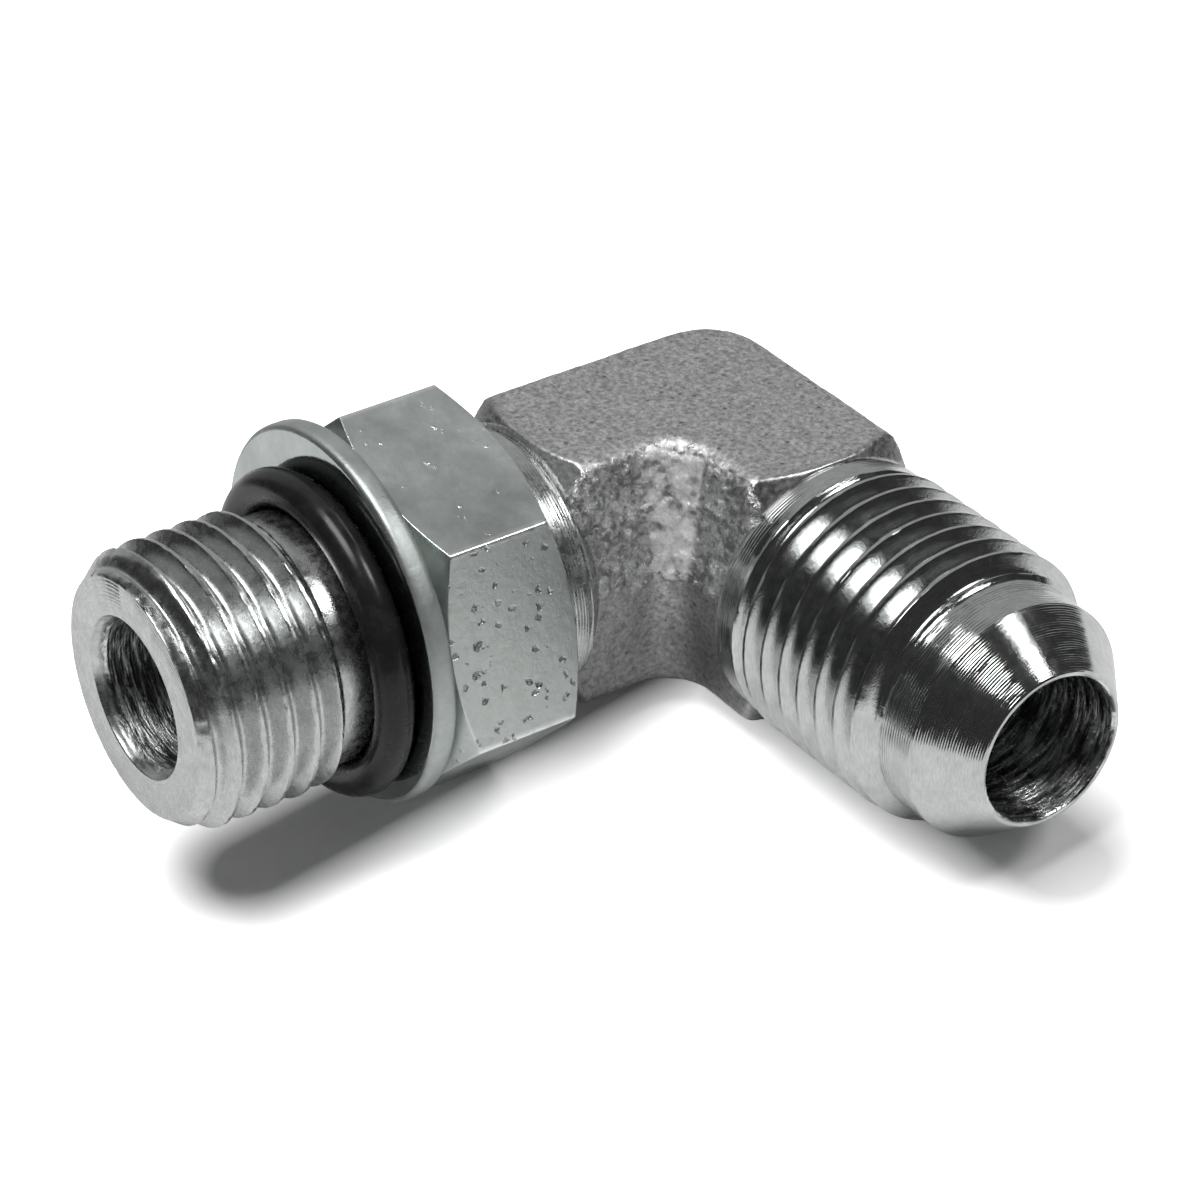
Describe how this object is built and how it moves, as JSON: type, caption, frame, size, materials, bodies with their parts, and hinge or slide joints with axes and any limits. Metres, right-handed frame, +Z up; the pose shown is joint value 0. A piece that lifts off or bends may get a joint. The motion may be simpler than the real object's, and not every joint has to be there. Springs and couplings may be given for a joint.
{
  "type": "adjustable elbow fitting",
  "caption": "Right-angle hydraulic tube fitting: a forged body with a threaded flare end and a threaded stud end that carries a lock nut, a washer and a sealing ring.",
  "frame": {"origin": "the corner of the elbow, where the axes of its two drilled holes cross", "axes": "+Z is up as the fitting lies on a floor. The flared end points along +X, about a degree down. The stud end points along -Y and about nine degrees up."},
  "size_m": [0.0379, 0.0404, 0.021],
  "materials": {
    "forged_steel": "forged grey body, its ends and threads turned bright",
    "plated_nut": "satin zinc plate with small pits",
    "plated_washer": "smooth zinc plate",
    "black_rubber": "smooth, with a low sheen"
  },
  "bodies": {
    "body": {"elbow_body": "forged_steel"},
    "seal": {"backup_washer": "plated_washer", "o_ring": "black_rubber"},
    "nut": {"lock_nut": "plated_nut"}
  },
  "joints": [
    {"name": "seal_travel", "type": "slide", "parent": "body", "child": "seal", "axis": [0.0035, -0.9875, 0.1579], "range_m": [0, 0.0009]},
    {"name": "nut_turn", "type": "hinge", "parent": "seal", "child": "nut", "pos_m": [0, 0, 0], "axis": [0.0035, -0.9875, 0.1579], "range_deg": [0, 229.6]}
  ],
  "couplings": [
    {"joint": "seal_travel", "follows": "nut_turn", "m_per_rad": 0.00022457}
  ]
}
